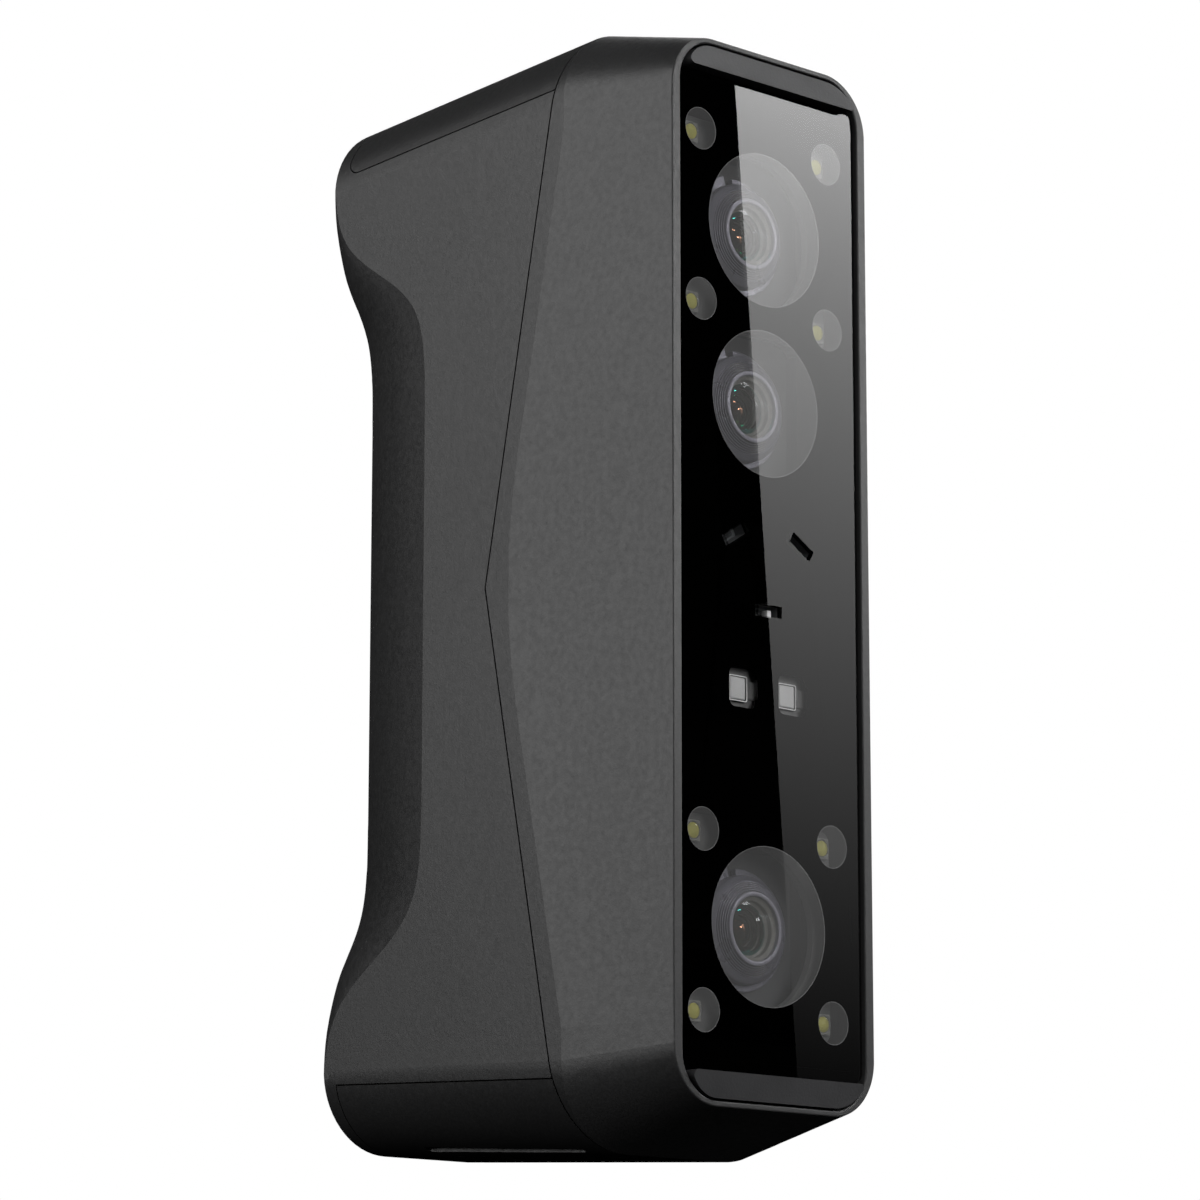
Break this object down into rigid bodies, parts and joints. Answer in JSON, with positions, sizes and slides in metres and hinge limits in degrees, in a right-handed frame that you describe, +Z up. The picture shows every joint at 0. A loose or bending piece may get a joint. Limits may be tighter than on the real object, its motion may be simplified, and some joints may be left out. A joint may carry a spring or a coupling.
{
  "type": "handheld scanner",
  "caption": "Tall two-part handheld 3-D scanner body with a scooped grip, a glazed row of cameras, lights and line lasers in front, and thumb buttons on the back.",
  "frame": {"origin": "middle of the base of the bounding box, on the surface the scanner stands on", "axes": "+Z up along the grip, -Y the way the cameras look, +X to the right of somebody looking at the sensor window"},
  "size_m": [0.0516, 0.0862, 0.19],
  "materials": {
    "shell_plastic": "fine-textured moulded plastic, dark grey",
    "cover_plastic": "fine-textured moulded plastic, dark grey",
    "window_glass": "tinted, coated flat glass",
    "black_mask": "black printed film, glossy",
    "bumper_rubber": "matte black rubber",
    "bench_aluminium": "milled aluminium",
    "block_aluminium": "black anodised aluminium",
    "barrel_anodised": "black anodised aluminium, turned",
    "lens_glass": "coated optical glass",
    "screw_steel": "zinc-plated steel",
    "spacer_plastic": "black nylon",
    "circuit_board": "green solder mask",
    "led_board": "black solder mask",
    "led_phosphor": "yellow phosphor under a clear dome",
    "laser_brass": "turned brass",
    "line_lens_glass": "clear line-generating lens",
    "emitter_ceramic": "pale ceramic package",
    "chip_epoxy": "black epoxy",
    "thermal_pad": "soft grey-blue pad",
    "sink_aluminium": "extruded, black-edged aluminium",
    "fan_plastic": "black moulded plastic",
    "cell_wrap": "blue shrink wrap",
    "cradle_plastic": "black moulded plastic",
    "panel_plastic": "smooth black plastic",
    "button_rubber": "silicone rubber, dark grey",
    "light_pipe": "milky light guide",
    "switch_metal": "stamped steel",
    "socket_steel": "drawn steel shell"
  },
  "bodies": {
    "scanner": {"battery_cradle": "cradle_plastic", "bench_screws": "screw_steel", "board_screws": "screw_steel", "bottom_cover": "cover_plastic", "button_board": "circuit_board", "button_panel": "panel_plastic", "emitter_board": "led_board", "emitters": "emitter_ceramic", "end_screws": "screw_steel", "fan_bracket": "bench_aluminium", "fan_frame": "fan_plastic", "front_glass": "window_glass", "front_shell": "shell_plastic", "heat_sink": "sink_aluminium", "laser_lenses": "line_lens_glass", "left_battery_cell": "cell_wrap", "left_laser": "laser_brass", "light_spacers": "spacer_plastic", "lower_bumper": "bumper_rubber", "lower_camera_block": "block_aluminium", "lower_front_lens": "lens_glass", "lower_laser": "laser_brass", "lower_led_board": "led_board", "lower_leds": "led_phosphor", "lower_lens_barrel": "barrel_anodised", "lower_sensor_board": "circuit_board", "main_board": "circuit_board", "middle_camera_block": "block_aluminium", "middle_front_lens": "lens_glass", "middle_lens_barrel": "barrel_anodised", "middle_sensor_board": "circuit_board", "optical_bench": "bench_aluminium", "panel_screws": "screw_steel", "processor": "chip_epoxy", "rear_shell": "shell_plastic", "right_battery_cell": "cell_wrap", "right_laser": "laser_brass", "standoffs": "screw_steel", "status_light": "light_pipe", "tact_switches": "switch_metal", "thermal_pad": "thermal_pad", "top_cover": "cover_plastic", "upper_bumper": "bumper_rubber", "upper_camera_block": "block_aluminium", "upper_front_lens": "lens_glass", "upper_led_board": "led_board", "upper_leds": "led_phosphor", "upper_lens_barrel": "barrel_anodised", "upper_sensor_board": "circuit_board", "usb_board": "circuit_board", "usb_socket": "socket_steel", "window_mask": "black_mask"},
    "scan_button": {"scan_button": "button_rubber"},
    "plus_button": {"plus_button": "button_rubber"},
    "minus_button": {"minus_button": "button_rubber"},
    "power_button": {"power_button": "button_rubber"},
    "fan": {"fan_rotor": "fan_plastic"}
  },
  "joints": [
    {"name": "scan_press", "type": "slide", "parent": "scanner", "child": "scan_button", "axis": [0, -1, 0], "range_m": [0, 0.0008], "stiffness_N_per_m": 400, "springref_m": -0.003},
    {"name": "plus_press", "type": "slide", "parent": "scanner", "child": "plus_button", "axis": [0, -1, 0], "range_m": [0, 0.0008], "stiffness_N_per_m": 400, "springref_m": -0.003},
    {"name": "minus_press", "type": "slide", "parent": "scanner", "child": "minus_button", "axis": [0, -1, 0], "range_m": [0, 0.0008], "stiffness_N_per_m": 400, "springref_m": -0.003},
    {"name": "power_press", "type": "slide", "parent": "scanner", "child": "power_button", "axis": [0, -1, 0], "range_m": [0, 0.0008], "stiffness_N_per_m": 400, "springref_m": -0.003},
    {"name": "fan_spin", "type": "hinge", "parent": "scanner", "child": "fan", "pos_m": [0, 0.0051, 0.023], "axis": [0, 0, 1], "continuous": true}
  ]
}
